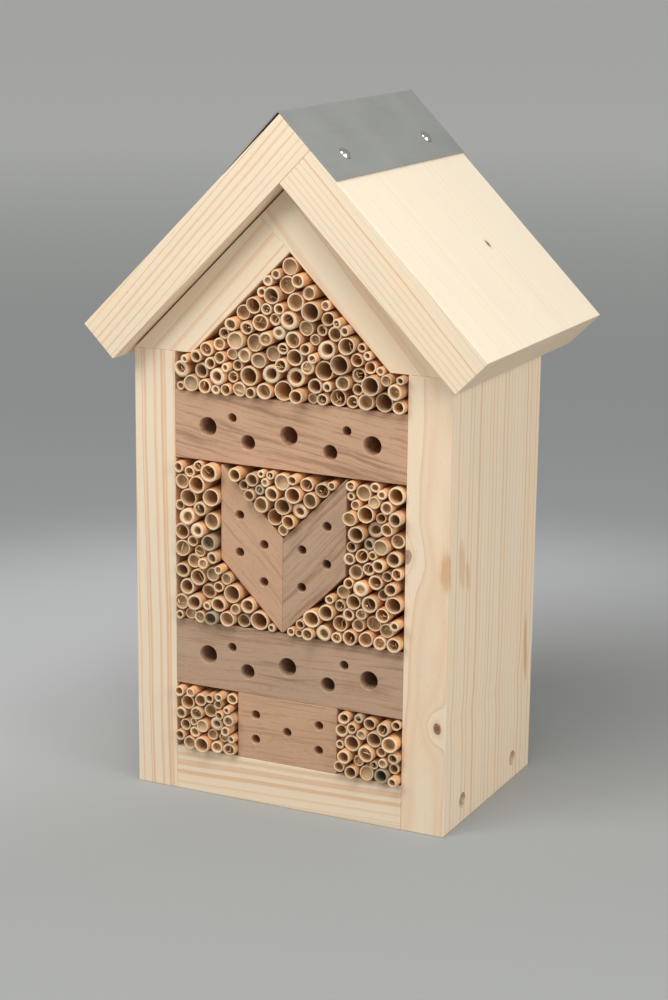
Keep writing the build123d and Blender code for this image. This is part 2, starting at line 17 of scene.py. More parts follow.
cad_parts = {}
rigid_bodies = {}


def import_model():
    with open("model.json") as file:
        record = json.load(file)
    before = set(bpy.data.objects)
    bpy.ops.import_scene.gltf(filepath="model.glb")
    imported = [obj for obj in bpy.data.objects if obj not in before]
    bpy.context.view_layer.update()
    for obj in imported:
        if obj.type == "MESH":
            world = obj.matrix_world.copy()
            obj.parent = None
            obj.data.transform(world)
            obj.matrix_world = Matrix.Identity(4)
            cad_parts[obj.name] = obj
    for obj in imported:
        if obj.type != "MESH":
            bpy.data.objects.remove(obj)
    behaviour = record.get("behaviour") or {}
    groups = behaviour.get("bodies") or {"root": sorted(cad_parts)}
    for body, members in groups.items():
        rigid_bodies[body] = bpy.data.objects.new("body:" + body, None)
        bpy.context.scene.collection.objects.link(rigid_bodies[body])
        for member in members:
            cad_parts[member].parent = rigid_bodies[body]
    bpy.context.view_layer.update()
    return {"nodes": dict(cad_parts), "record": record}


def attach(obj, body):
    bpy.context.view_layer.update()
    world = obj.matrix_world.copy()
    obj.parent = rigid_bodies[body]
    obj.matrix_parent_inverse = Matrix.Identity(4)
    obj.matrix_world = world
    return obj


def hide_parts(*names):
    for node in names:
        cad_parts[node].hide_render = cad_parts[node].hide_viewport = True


bl_info = {
    "name": "Insect Hotel Finishes",
    "version": (1, 0, 0),
    "blender": (4, 5, 0),
    "location": "View3D > Sidebar > Insect Hotel",
    "description": "Wood, reed and metal finishes for a gabled insect hotel, with its studio",
    "category": "Material",
}

for leftover in list(bpy.data.objects):
    bpy.data.objects.remove(leftover)

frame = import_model()

MM = 0.001

UP = (0, 0, 1)
RIGHT = (1, 0, 0)
LEFT = (-1, 0, 0)
BACKWARD = (0, 1, 0)
SLOPE = 1 / sqrt(2)
UP_RIGHT = (SLOPE, 0, SLOPE)
UP_LEFT = (-SLOPE, 0, SLOPE)


def paint(red, green, blue):
    """A colour as it looks, 0 to 255, in the linear values that a shader takes.

    Each part s of 255 becomes ((s + 0.055) / 1.055) ** 2.4, or s / 12.92 where it is dark.
    """
    part = np.array((red, green, blue)) / 255
    bright = ((part + 0.055) / 1.055) ** 2.4
    return tuple(np.where(part > 0.04045, bright, part / 12.92).tolist())


def colour(name, description, default):
    """A colour that a user can change."""
    return FloatVectorProperty(
        name=name, description=description, default=default,
        subtype="COLOR", size=3, min=0, max=1,
    )


def share(name, description, default):
    """A share from 0 to 1 that a user can change."""
    return FloatProperty(
        name=name, description=description, default=default,
        subtype="FACTOR", min=0, max=1,
    )


# ------------------------------------------------------------------ what can be changed


class SpruceLook(PropertyGroup):
    """Colours of the planed spruce boards."""

    pale: colour("Pale wood", "Wood between the ring lines", paint(240, 220, 192))
    line: colour("Ring line", "Dense wood at the end of each year", paint(222, 172, 126))
    warm: colour("Warm wood", "Tint of the warmer patches", paint(241, 214, 178))
    resin: colour("Resin", "Amber wood beside a branch", paint(206, 152, 100))
    knot: colour("Knot", "Heart of a knot", paint(120, 76, 48))
    # Painted light: a paler colour laid on a broad face that the lamps light strongly.
    painted_light_face: colour("Bleached wood", "Of a broad face out in the light", paint(246, 236, 216))
    contrast: share("Ring contrast", "How far the lines differ from the pale wood", 0.75)
    roughness: share("Roughness", "Of the planed surface", 0.55)


class HardwoodLook(PropertyGroup):
    """Colours of the drilled hardwood."""

    pink: colour("Pink wood", "Ground colour of the pink pieces", paint(199, 159, 128))
    pink_streak: colour("Pink wood's streaks", "Darker figure in them", paint(124, 86, 60))
    grey: colour("Grey wood", "Ground colour of the grey pieces", paint(183, 152, 126))
    grey_streak: colour("Grey wood's streaks", "Darker figure in them", paint(130, 86, 56))
    roughness: share("Roughness", "Of the sawn surface", 0.62)


class ReedLook(PropertyGroup):
    """Colours and unevenness of the cut reeds."""

    rim: colour("Cut rim", "The fresh cut at the end of a reed", paint(238, 212, 176))
    side: colour("Side", "Skin of a reed", paint(228, 174, 124))
    inside: colour("Inside", "Wall of the hollow", paint(216, 174, 130))
    # Painted shade: the colour the hollow is darkened to far down, where shade falls.
    deep: colour("Depth", "Far down the hollow", paint(140, 92, 60))
    film: colour("Film", "Dry pith that closes some reeds or curls in them", paint(222, 184, 140))
    grey: colour("Weathered", "What the oldest reeds have turned to", paint(156, 144, 122))
    closed: share("Closed by film", "Of the reeds with no stated opening", 0.55)
    curled: share("With curls", "Reeds with curls of pith in them", 0.4)
    seed: IntProperty(name="Seed", description="Of the reeds' unevenness", default=5, min=0)


class MetalLook(PropertyGroup):
    """Colours of the ridge cap and the fasteners."""

    sheet: colour("Sheet", "The folded cap and the hanger", paint(164, 165, 161))
    nail: colour("Nail", "Domed nails in the cap", paint(205, 205, 200))
    # Plated colour darkened towards the shade in the screw holes: partly painted shade.
    zinc_and_painted_shade: colour("Zinc", "Plated screws", paint(146, 126, 96))


class StudioLook(PropertyGroup):
    """The floor, the lamps and the camera."""

    # Painted light and shade on the floor: darker at the right of the hotel as a painted shadow,
    # paler at its left as painted light, a darker band half a metre off and a pale far floor as
    # painted falloff of the lamps' light.
    floor: colour("Floor", "Under the hotel", paint(160, 162, 160))
    floor_left_painted_light: colour("Floor at the left", "Beside and behind the hotel", paint(198, 200, 200))
    floor_behind_painted_shade: colour("Floor behind", "About half a metre away", paint(166, 170, 169))
    floor_far_painted_light: colour("Far floor", "Several metres away", paint(250, 252, 247))
    backdrop: colour("Backdrop", "Above the floor", paint(162, 164, 160))
    key_power: FloatProperty(
        name="Key lamp", description="Soft lamp in front, high at the left", default=7.0, unit="POWER"
    )
    top_power: FloatProperty(
        name="Top lamp", description="Soft lamp in front, above the roof", default=7.2, unit="POWER"
    )
    fill_power: FloatProperty(
        name="Fill lamp", description="Soft lamp at the right", default=9.2, unit="POWER"
    )
    ambient: share("Ambient", "Light from all round", 0.38)
    camera_place: FloatVectorProperty(
        name="Camera", description="Where the camera stands",
        default=(0.5279, -1.1094, 0.4650), subtype="TRANSLATION", unit="LENGTH",
    )
    yaw: FloatProperty(
        name="Yaw", description="Turned left from looking along +Y",
        default=radians(25.71), subtype="ANGLE",
    )
    pitch: FloatProperty(
        name="Pitch", description="Tilted up from level", default=radians(-14.25), subtype="ANGLE"
    )
    roll: FloatProperty(
        name="Roll", description="Leaning to the left", default=radians(0.61), subtype="ANGLE"
    )
    lens: FloatProperty(
        name="Lens", description="Focal length on a 36 mm frame", default=84.84, unit="CAMERA"
    )


# ------------------------------------------------------------------------ finish tools


class Amount:
    """A number that varies over a surface. Python's operators on it add Math nodes."""

    def __init__(self, finish, socket):
        self.finish = finish
        self.socket = socket

    def math(self, operation, *others):
        return self.finish.math(operation, self, *others)

    def __add__(self, other):
        return self.math("ADD", other)

    def __sub__(self, other):
        return self.math("SUBTRACT", other)

    def __rsub__(self, other):
        return self.finish.math("SUBTRACT", other, self)

    def __mul__(self, other):
        return self.math("MULTIPLY", other)

    def __truediv__(self, other):
        return self.math("DIVIDE", other)

    def __pow__(self, other):
        return self.math("POWER", other)

    def __abs__(self):
        return self.math("ABSOLUTE")

    __radd__ = __add__
    __rmul__ = __mul__


class Finish:
    """A material while its nodes are being added."""

    def __init__(self, name, target=None):
        self.material = bpy.data.materials.new(name) if target is None else target
        self.material.use_nodes = True
        self.tree = self.material.node_tree
        self.tree.nodes.clear()

    def node(self, kind, settings, sockets, output=0):
        """One node: its settings first, then values and links for its sockets.

        The result is the chosen output.
        """
        made = self.tree.nodes.new("ShaderNode" + kind)
        for name, value in settings.items():
            setattr(made, name, value)
        for key, value in sockets.items():
            if isinstance(value, Amount):
                self.tree.links.new(value.socket, made.inputs[key])
            else:
                made.inputs[key].default_value = value
        return Amount(self, made.outputs[output])

    def math(self, operation, *values):
        return self.node("Math", {"operation": operation}, dict(enumerate(values)))

    def dot(self, vector, direction):
        """How far a vector reaches along a direction."""
        values = {0: vector, 1: direction}
        return self.node("VectorMath", {"operation": "DOT_PRODUCT"}, values, "Value")

    def join(self, x, y, z):
        return self.node("CombineXYZ", {}, {0: x, 1: y, 2: z})

    def mix(self, factor, first, second):
        """A colour between two, each given as a socket or as red, green and blue."""
        ends = [c if isinstance(c, Amount) else (*c, 1) for c in (first, second)]
        return self.node("Mix", {"data_type": "RGBA"}, {0: factor, 6: ends[0], 7: ends[1]}, 2)

    def dim(self, tone, amount):
        """A colour made brighter or darker by an amount."""
        return self.node("VectorMath", {"operation": "SCALE"}, {0: tone, "Scale": amount})

    def step(self, value, low, high):
        """0 below low and 1 above high, with a smooth change between. low may be the higher."""
        return self.node(
            "MapRange", {"interpolation_type": "SMOOTHSTEP"}, {0: value, 1: low, 2: high}
        )

    def noise(self, vector, seed, detail=2.0, roughness=0.5):
        """Soft noise about 0, of unit scale: a vector one unit on is another place in it."""
        values = {"Vector": vector, "W": seed, "Scale": 1.0, "Detail": detail}
        values["Roughness"] = roughness
        return self.node("TexNoise", {"noise_dimensions": "4D"}, values) - 0.5

    def waver(self, value, seed):
        """Soft noise about 0 along one number."""
        return self.node("TexNoise", {"noise_dimensions": "1D"}, {"W": value + seed}) - 0.5

    def random(self, value):
        """A number from 0 to 1 of its own for each whole number."""
        return self.node("TexWhiteNoise", {"noise_dimensions": "1D"}, {"W": value})

    def place(self):
        """Where a point of the object is, in metres."""
        return self.node("TexCoord", {}, {}, "Object")

    def attribute(self, name, output):
        return self.node("Attribute", {"attribute_name": name}, {}, output)

    def facing(self, direction):
        """1 where the surface faces along a direction or against it, 0 across it."""
        return abs(self.dot(self.node("NewGeometry", {}, {}, "Normal"), direction))

    def bump(self, height):
        """A normal for a relief whose height is in millimetres."""
        return self.node("Bump", {}, {"Strength": 1.0, "Distance": MM, "Height": height})

    def surface(self, **sockets):
        """Ends the material with one Principled shader."""
        values = {name.replace("_", " "): value for name, value in sockets.items()}
        shader = self.node("BsdfPrincipled", {}, values)
        self.tree.links.new(shader.socket, self.tree.nodes.new("ShaderNodeOutputMaterial").inputs[0])
        return self.material


def coat(node, material):
    """Gives a CAD node one material in place of its plain one."""
    for slot in frame["nodes"][node].material_slots:
        slot.material = material


def corners(node):
    """All vertices of a CAD node, as an array of (x, y, z)."""
    mesh = frame["nodes"][node].data
    places = np.empty(len(mesh.vertices) * 3, np.float32)
    mesh.vertices.foreach_get("co", places)
    return places.reshape(-1, 3)


def measures(finish, node, grain, outward):
    """Millimetres along the grain, below the broad face, and behind the front edge."""
    place = finish.place()
    points = corners(node)
    start = float((points @ np.array(grain)).min())
    top = float((points @ np.array(outward)).max())
    front = float(points[:, 1].min())
    along = (finish.dot(place, grain) - start) / MM
    depth = (top - finish.dot(place, outward)) / MM
    behind = (finish.dot(place, BACKWARD) - front) / MM
    return along, depth, behind


# ------------------------------------------------------------------------ spruce boards


class Knot(NamedTuple):
    """A knot or a trace of one, with its places in millimetres on its board."""

    runs: str           # "back" for one that runs front to back, "through" for the thickness
    along: float
    across: float       # below the broad face if it runs back, behind the front if through
    radius: float
    darkness: float


class Patch(NamedTuple):
    """Amber, resin-soaked wood, with its places in millimetres on its board."""

    along: float
    depth: float
    behind: float
    radius: float
    stretch: float      # how much longer along the grain than across
    strength: float


class Board(NamedTuple):
    """How a board was cut from its tree, in millimetres."""

    node: str
    grain: tuple
    outward: tuple
    pith: tuple         # below the broad face and behind the front, where the tree's middle was
    ring: float         # width of a year's growth
    lean: float         # how much nearer the pith comes over 100 mm
    sway: float         # how far the rings wander
    knots: tuple = ()
    patches: tuple = ()
    # painted light: how much paler its broad face is painted, where the lamps light it strongly
    painted_light_face: float = 0     # how much paler its broad face is


BOARDS = (
    Board("left_wall", UP, LEFT, (90, 20), 6.0, 2, 2),
    Board("right_wall", UP, RIGHT, (12, -40), 4.6, 4, 2.5, (
        Knot("back", 146.5, 23.0, 2.6, 0.75), Knot("back", 58.3, 4.6, 2.0, 1.0),
    ), (
        Patch(143, 1, -1, 4.5, 2.8, 0.6), Patch(141, 0, 17, 5.5, 2.4, 0.4),
        Patch(134, 0, 25, 3.0, 3.0, 0.45), Patch(70, 0, 110, 3.0, 7.0, 0.7),
    )),
    Board("base_board", RIGHT, UP, (120, 30), 5.0, 3, 2),
    Board("left_gable_board", UP_RIGHT, UP_LEFT, (160, -60), 7.5, 4, 3),
    Board("right_gable_board", UP_LEFT, UP_RIGHT, (-25, -60), 9.0, 8, 3),
    Board("left_roof_board", UP_RIGHT, UP_LEFT, (-140, -60), 3.6, 4, 2),
    Board("right_roof_board", UP_LEFT, UP_RIGHT, (-110, -150), 2.0, 3, 1.5, (
        Knot("through", 60.0, 99.7, 1.3, 1.0),
    ), painted_light_face=0.5),
)


def spruce(board, look, seed):
    """Planed spruce, worked out through the board's whole thickness.

    Rings are the distance from a leaning pith, wavered by noise and pushed outward beside
    a knot. Each year's share darkens slowly to a line and ends at once. Fibres, clouds and
    flecks are noise stretched along the grain.
    """
    finish = Finish("spruce_" + board.node)
    along, depth, behind = measures(finish, board.node, board.grain, board.outward)
    broad = finish.join(along / 120, depth / 40, behind / 40)
    sway = finish.noise(broad, seed) * board.sway * 2
    twist = finish.noise(broad, seed + 3.7) * board.sway * 2
    below = depth - board.pith[0] + along * (board.lean / 100) + sway
    beside = behind - board.pith[1] + twist
    radius = (below * below + beside * beside) ** 0.5

    wobble = finish.noise(finish.join(along / 6, depth / 3, behind / 3), seed + 1.3)
    cores = []
    for knot in board.knots:
        offset = (behind if knot.runs == "through" else depth) - knot.across
        run = (along - knot.along) / 1.5
        apart = (run * run + offset * offset) ** 0.5 / knot.radius + wobble * 0.9
        radius = radius + finish.math("EXPONENT", apart * apart * -0.12) * (knot.radius * 1.6)
        cores.append((apart, knot.darkness))

    years = radius / board.ring + finish.waver(radius / (board.ring * 2.6), seed) * 0.9
    year = finish.math("FLOOR", years)
    share_of_year = finish.math("FRACT", years)
    strength = finish.random(year + seed) * 0.5 + 0.5
    line = finish.step(share_of_year, 0.62, 0.93) * finish.step(share_of_year, 1.0, 0.95) * strength

    fibre = finish.noise(finish.join(along / 16, depth / 0.5, behind / 0.5), seed, 3, 0.6)
    cloud = finish.noise(finish.join(along / 70, depth / 22, behind / 22), seed + 9, 1)
    fleck = finish.noise(finish.join(along / 2.2, depth / 0.6, behind / 0.6), seed + 5, 0)
    end = finish.step(finish.facing(board.grain), 0.6, 0.9)

    tone = finish.mix(finish.step(cloud, -0.05, 0.3) * 0.7, look.pale, look.warm)
    tone = finish.mix(line * look.contrast, tone, look.line)
    # Painted light: the strongly lit broad face is made paler.
    if board.painted_light_face:
        broad_face = finish.step(finish.facing(board.outward), 0.6, 0.9)
        tone = finish.mix(broad_face * board.painted_light_face, tone, look.painted_light_face)
    for patch in board.patches:
        run = (along - patch.along) / patch.stretch + (behind - patch.behind) * 0.5
        reach = run ** 2 + (depth - patch.depth) ** 2 + (behind - patch.behind) ** 2
        apart = reach ** 0.5 / patch.radius + wobble * 0.6 + fibre * 1.5
        tone = finish.mix(finish.step(apart, 1.15, 0.5) * patch.strength, tone, look.resin)
    for apart, darkness in cores:
        whorl = finish.math("SINE", apart * 9) * 0.12 + 0.88
        tone = finish.mix(finish.step(apart, 2.6, 1.0) * (0.35 * darkness), tone, look.line)
        core = finish.step(apart, 1.25, 0.7) * whorl * darkness
        tone = finish.mix(core, tone, look.knot)
    light = 1 + fibre * 0.13 + cloud * 0.07 - finish.step(fleck, 0.24, 0.34) * 0.16 - end * 0.06
    height = fibre * 0.03 + line * 0.02
    return finish.surface(
        Base_Color=finish.dim(tone, light), Normal=finish.bump(height),
        Roughness=look.roughness + fibre * 0.15, Specular_IOR_Level=0.35,
    )


class HOTEL_OT_spruce_boards(Operator):
    """Gives each spruce board its own grain"""

    bl_idname = "hotel.spruce_boards"
    bl_label = "Spruce boards"

    def execute(self, context):
        for seed, board in enumerate(BOARDS):
            coat(board.node, spruce(board, context.scene.hotel_spruce, seed * 11.3 + 2))
        return {"FINISHED"}


# --------------------------------------------------------------------- drilled hardwood


class Block(NamedTuple):
    """One piece of hardwood and its figure, in millimetres."""

    node: str
    grain: tuple
    outward: tuple
    wood: str           # "pink" or "grey"
    slant: float        # rise of the figure for each mm along the piece
    streaks: float      # how much of the piece the darker streaks cover
    scratches: float    # how strongly the saw marked it
    band: float         # width of the darker wood along its broad face


BLOCKS = (
    Block("upper_beam", RIGHT, UP, "pink", -0.16, 0.6, 0.6, 0),
    Block("lower_beam", RIGHT, UP, "grey", 0.03, 0.4, 1.0, 9),
    Block("left_chevron_block", UP_LEFT, UP_RIGHT, "pink", 0.0, 0.08, 0.2, 0),
    Block("right_chevron_block", UP_RIGHT, UP_LEFT, "grey", 0.0, 0.55, 0.5, 15),
    Block("middle_block", RIGHT, UP, "pink", 0.02, 0.12, 0.2, 0),
)


def hardwood(block, look, seed):
    """Sawn hardwood: streaks and fine lines of stretched noise, short pores, saw scratches."""
    finish = Finish("hardwood_" + block.node)
    along, depth, behind = measures(finish, block.node, block.grain, block.outward)
    sway = finish.noise(finish.join(along / 55, depth / 30, behind / 60), seed) * 9
    rise = depth + along * block.slant + sway
    figure = finish.noise(finish.join(along / 70, rise / 4, behind / 60), seed + 2, 5, 0.68)
    lines = finish.noise(finish.join(along / 45, rise / 1.1, behind / 6), seed + 4, 3, 0.6)
    pores = finish.noise(finish.join(along / 3.2, rise / 0.45, behind / 0.45), seed + 6, 0)
    cloud = finish.noise(finish.join(along / 40, depth / 18, behind / 40), seed + 8, 1)
    saw = finish.noise(
        finish.join((along * 0.62 + depth * 0.78) / 0.7, (depth * 0.62 - along * 0.78) / 22, 0),
        seed + 1, 1,
    )
    ground = getattr(look, block.wood)
    streak = getattr(look, block.wood + "_streak")
    spread = 0.11 - 0.2 * block.streaks
    if block.band:
        figure = figure + finish.step(depth + sway * 0.4, block.band, 0) * 0.12
    dark = finish.step(figure, spread, spread + 0.14)
    tone = finish.mix(dark * (0.3 + 0.4 * block.streaks), ground, streak)
    tone = finish.mix(finish.step(lines, 0.0, 0.16) * 0.4, tone, streak)
    scratch = finish.step(saw, 0.14, 0.34) * block.scratches
    light = 1.06 + lines * 0.3 + cloud * 0.2 - finish.step(pores, 0.12, 0.25) * 0.16 + scratch * 0.15
    height = lines * 0.03 - finish.step(pores, 0.15, 0.32) * 0.05 + scratch * 0.03
    return finish.surface(
        Base_Color=finish.dim(tone, light), Normal=finish.bump(height),
        Roughness=look.roughness + lines * 0.15, Specular_IOR_Level=0.3,
    )


class HOTEL_OT_hardwood_blocks(Operator):
    """Gives the beams, the chevron and the middle block their hardwood"""

    bl_idname = "hotel.hardwood_blocks"
    bl_label = "Hardwood blocks"

    def execute(self, context):
        for seed, block in enumerate(BLOCKS):
            coat(block.node, hardwood(block, context.scene.hotel_hardwood, seed * 7.9 + 40))
        return {"FINISHED"}


# -------------------------------------------------------------------------------- reeds

AROUND = 14                 # corners round a reed
LIP = 0.35 * MM             # how far the worn edge of a cut reaches
WORN = 0.11 * MM            # how far in from each side the cut's flat rim starts
OUTER_EDGE = 0.08 * MM      # how far the rim's outer edge lies behind the cut
INNER_EDGE = 0.04 * MM      # how far its inner edge does
DISH = 0.3 * MM             # hollow of the face that closes a reed
CURL_STATIONS = 7
CURL_CORNERS = 4
CURL_SHEET = 0.07 * MM
CURL_ROOM = 0.93            # the part of the bore's radius that curls keep to
CURL_CLEAR = 0.5 * MM       # how far curls stay off the face that closes the reed
CURL_SHALLOW = 0.6 * MM     # how deep they may always go


def solids_of(node):
    """The corners of each separate solid of a node.

    Each corner starts with its own number and takes the lowest one found in its triangles,
    over and over, until every solid has a single number.
    """
    places, which = np.unique(np.round(corners(node), 6), axis=0, return_inverse=True)
    mesh = frame["nodes"][node].data
    triangles = np.empty(len(mesh.polygons) * 3, np.int32)
    mesh.polygons.foreach_get("vertices", triangles)
    triangles = which.ravel()[triangles].reshape(-1, 3)
    number = np.arange(len(places))
    while True:
        lower = number.copy()
        np.minimum.at(lower, triangles, number[triangles].min(axis=1)[:, None])
        lower = lower[lower]
        if (lower == number).all():
            break
        number = lower
    return [places[number == one] for one in np.unique(number)]


class Reeds(NamedTuple):
    """The reeds of one node, one row each, measured from their solids."""

    middle: np.ndarray      # x and z
    outer: np.ndarray
    bore: np.ndarray
    front: np.ndarray
    back: np.ndarray
    joint: np.ndarray       # depth y of the joint that closes the hollow


def measured_reeds(node):
    """Reads each reed: its middle and radii from the front ring, its joint from the levels."""
    rows = []
    for solid in solids_of(node):
        low, high = solid.min(axis=0), solid.max(axis=0)
        middle = (low + high)[[0, 2]] / 2
        ring = solid[solid[:, 1] < low[1] + LIP]
        away = np.hypot(*(ring[:, [0, 2]] - middle).T)
        joint = np.unique(np.round(solid[:, 1], 5))[1]
        rows.append((*middle, away.max(), away.min(), low[1], high[1], joint))
    table = np.array(sorted(rows))
    return Reeds(table[:, :2], *table[:, 2:].T)


def stated_open(reeds):
    """Which reeds hold an opening that the record states, so that they stay clear."""
    found = np.zeros(len(reeds.outer), bool)
    for opening in frame["record"]["physics"]["openings"]:
        centre = np.mean(opening["box_m"], axis=0)[[0, 2]]
        found |= np.hypot(*(reeds.middle - centre).T) < reeds.bore
    return found


class ByChance(NamedTuple):
    """What each reed got by chance."""

    clear: np.ndarray       # whether it stays round and open
    grey: np.ndarray
    tone: np.ndarray
    plug: np.ndarray        # depth behind the cut where the hollow is closed
    filmed: np.ndarray


def chances(reeds, look, choice):
    """Draws each reed's weathering, brightness and closing depth."""
    count = len(reeds.outer)
    clear = stated_open(reeds)
    filmed = (choice.random(count) < look.closed) & ~clear
    deep = reeds.joint - reeds.front
    plug = np.where(filmed, choice.uniform(1.0, 6.0, count) * MM, deep)
    grey = np.where(choice.random(count) < 0.02, choice.uniform(0.5, 1.0, count), 0)
    grey = np.maximum(grey, choice.random(count) ** 3 * 0.3)
    return ByChance(clear, grey, choice.uniform(0.86, 1.08, count), plug, filmed)


def reed_points(reeds, by_chance, choice):
    """Tubes on a grid of reeds, rows and turns.

    The outer radius at turn t is outer * (1 - flat * (1 + cos 2(t - a)) / 2
    - dent * (1 + cos 3(t - b)) / 2), so it never leaves the round reed it stands for. The
    wall between it and the bore is thicker on one side. The cut leans and is a little
    ragged. Rows run from the back's middle, over the rim, down to the closed bore.
    """
    count = len(reeds.outer)
    turn = np.linspace(0, tau, AROUND, endpoint=False)[None, :]

    def drawn(low, high):
        return choice.uniform(low, high, (count, 1))

    uneven = ~by_chance.clear[:, None]
    flat = uneven * drawn(0, 0.09) * (1 + np.cos(2 * (turn - drawn(0, tau)))) / 2
    dent = uneven * drawn(0, 0.03) * (1 + np.cos(3 * (turn - drawn(0, tau)))) / 2
    outer = reeds.outer[:, None] * (1 - flat - dent)
    thicker = uneven * drawn(0, 0.3) * np.cos(turn - drawn(0, tau))
    wall = (reeds.outer - reeds.bore)[:, None] * (1 + thicker)
    bore = np.maximum(outer - wall, reeds.bore[:, None] * 0.4)
    lean = drawn(-0.06, 0.06) * np.cos(turn) + drawn(-0.08, 0.05) * np.sin(turn)
    ragged = choice.uniform(0, 0.22, (count, AROUND)) ** 2 * 4 * MM
    cut = reeds.front[:, None] + reeds.outer[:, None] * lean + ragged
    back = np.broadcast_to(reeds.back[:, None], cut.shape)
    plug = (reeds.front + by_chance.plug)[:, None]
    rows = (
        (outer * 0, back),
        (outer, back),
        (outer, cut + LIP),
        (outer - WORN, cut + OUTER_EDGE),
        (bore + WORN, cut + INNER_EDGE),
        (bore, cut + LIP),
        (bore, np.maximum(cut + LIP, cut * 0.45 + plug * 0.55)),
        (bore * 0.97, np.broadcast_to(plug, cut.shape)),
        (bore * 0, np.broadcast_to(plug + DISH, cut.shape)),
    )
    radius = np.stack([row[0] for row in rows], axis=1)
    depth = np.stack([row[1] for row in rows], axis=1)
    x = reeds.middle[:, 0, None, None] + radius * np.cos(turn)
    z = reeds.middle[:, 1, None, None] + radius * np.sin(turn)
    return np.stack([x, depth, z], axis=-1)


def reed_tints(reeds, by_chance, look, choice):
    """Colour and gloss of each row: skin, cut rim, then the hollow darkening inward as painted shade.
    """
    count = len(reeds.outer)

    def hue(base, spread):
        shift = choice.normal(0, spread, (count, 1)) * (0.4, 1.0, 1.9)
        return np.array(base) * by_chance.tone[:, None] * (1 + shift)

    side, rim = hue(look.side, 0.035), hue(look.rim, 0.02)
    inside, deep, film = hue(look.inside, 0.05), hue(look.deep, 0.05), hue(look.film, 0.03)
    filmed = by_chance.filmed[:, None]
    # Open reeds darken to the depth colour towards the joint, a painted shade; filmed ones turn to
    # film.
    halfway = np.where(filmed, inside * 0.6 + film * 0.4, inside * 0.45 + deep * 0.55)
    closing = np.where(filmed, film * choice.uniform(0.6, 1.0, (count, 1)), deep)
    rows = np.stack([side, side, side, rim, rim, inside, halfway, closing, closing], axis=1)
    weathered = np.array(look.grey) * rows.mean(axis=2, keepdims=True) * 1.8
    grey = by_chance.grey[:, None, None]
    rows = np.clip(rows * (1 - grey) + weathered * grey, 0, 1)
    gloss = np.array([0.35, 0.35, 0.38, 0.75, 0.8, 0.6, 0.6, 0.75, 0.75])
    return rows, np.broadcast_to(gloss, rows.shape[:2])


def tube_faces(tubes, rows, around):
    """Quads round tubes whose corners are numbered tube, row, turn.

    They leave the first and last row open, unless that row is a pole, in a single place.
    """
    tube, row, turn = np.meshgrid(
        np.arange(tubes), np.arange(rows - 1), np.arange(around), indexing="ij"
    )
    here = (tube * rows + row) * around
    after = (turn + 1) % around
    quads = [here + turn, here + after, here + around + after, here + around + turn]
    return np.stack(quads, axis=-1).reshape(-1, 4)


def curl_points(reeds, by_chance, look, choice):
    """Ribbons of dry pith: a bent line from one place on the bore to another, with a sheet's
    thickness and a width that tapers to both ends.

    The line is (1-s)^2 A + 2s(1-s) B + s^2 C for s from 0 to 1, with A and C on the bore's
    wall and B between them, as a rule nearer to the opening.
    """
    curled = (choice.random(len(reeds.outer)) < look.curled) & ~by_chance.clear
    chosen = np.flatnonzero(curled)
    which = np.repeat(chosen, choice.integers(1, 4, len(chosen)))
    count = len(which)
    bore = reeds.bore[which, None] * CURL_ROOM
    mouth = reeds.front[which, None]

    def drawn(low, high):
        return choice.uniform(low, high, (count, 1))

    first = drawn(0, tau)
    last = first + drawn(0.5, 3.4)
    middle, reach = (first + last) / 2 + drawn(-0.6, 0.6), drawn(0.0, 0.8)
    start, end, top = drawn(0.4, 3.0), drawn(0.4, 3.0), drawn(0.1, 1.4)
    deepest = np.maximum(by_chance.plug[which, None] - CURL_CLEAR, CURL_SHALLOW)

    def point(angle, share_out, depth):
        places = (np.cos(angle) * share_out * bore, np.minimum(depth * MM, deepest),
                  np.sin(angle) * share_out * bore)
        return np.concatenate(places, axis=1)[:, None, :]

    s = np.linspace(0, 1, CURL_STATIONS)[None, :, None]
    line = (
        (1 - s) ** 2 * point(first, 1, start)
        + 2 * s * (1 - s) * point(middle, reach, top)
        + s ** 2 * point(last, drawn(0.2, 1), end)
    )
    run = np.gradient(line, axis=1)
    run /= np.linalg.norm(run, axis=2, keepdims=True) + 1e-9
    lie = np.stack([choice.normal(0, 1, count), np.full(count, 1.2), choice.normal(0, 1, count)], 1)
    wide = np.cross(run, np.cross(lie[:, None, :], run))
    wide /= np.linalg.norm(wide, axis=2, keepdims=True) + 1e-9
    thick = np.cross(run, wide) * CURL_SHEET / 2
    taper = np.sin(np.pi * (0.12 + 0.76 * s)) * drawn(0.16, 0.42)[:, :, None] * MM
    line[:, :, [0, 2]] += reeds.middle[which, None, :]
    line[:, :, 1] += mouth
    edges = [wide * taper + thick, thick - wide * taper, -wide * taper - thick, wide * taper - thick]
    return line[:, :, None, :] + np.stack(edges, axis=2)


def closed_ends(tubes, rows, around):
    """The first and last face of tubes without poles, numbered as tube_faces numbers them.

    It serves curls, whose rows have four corners, so each end is one quad.
    """
    first = np.arange(tubes)[:, None] * rows * around
    near = first + np.arange(around)[None, ::-1]
    far = first + (rows - 1) * around + np.arange(around)[None, :]
    return np.concatenate([near, far])


def new_object(name, points, faces, material):
    """An object from points and quads, and which point each of its corners was.

    Points in one place become one corner, so the quads round a pole become triangles.
    """
    _, kept, which = np.unique(
        np.round(points, 8), axis=0, return_index=True, return_inverse=True
    )
    quads = which.ravel()[faces]
    mesh = bpy.data.meshes.new(name)
    mesh.from_pydata(points[kept].tolist(), [], [list(dict.fromkeys(q)) for q in quads.tolist()])
    mesh.materials.append(material)
    made = bpy.data.objects.new(name, mesh)
    bpy.context.scene.collection.objects.link(made)
    return made, kept


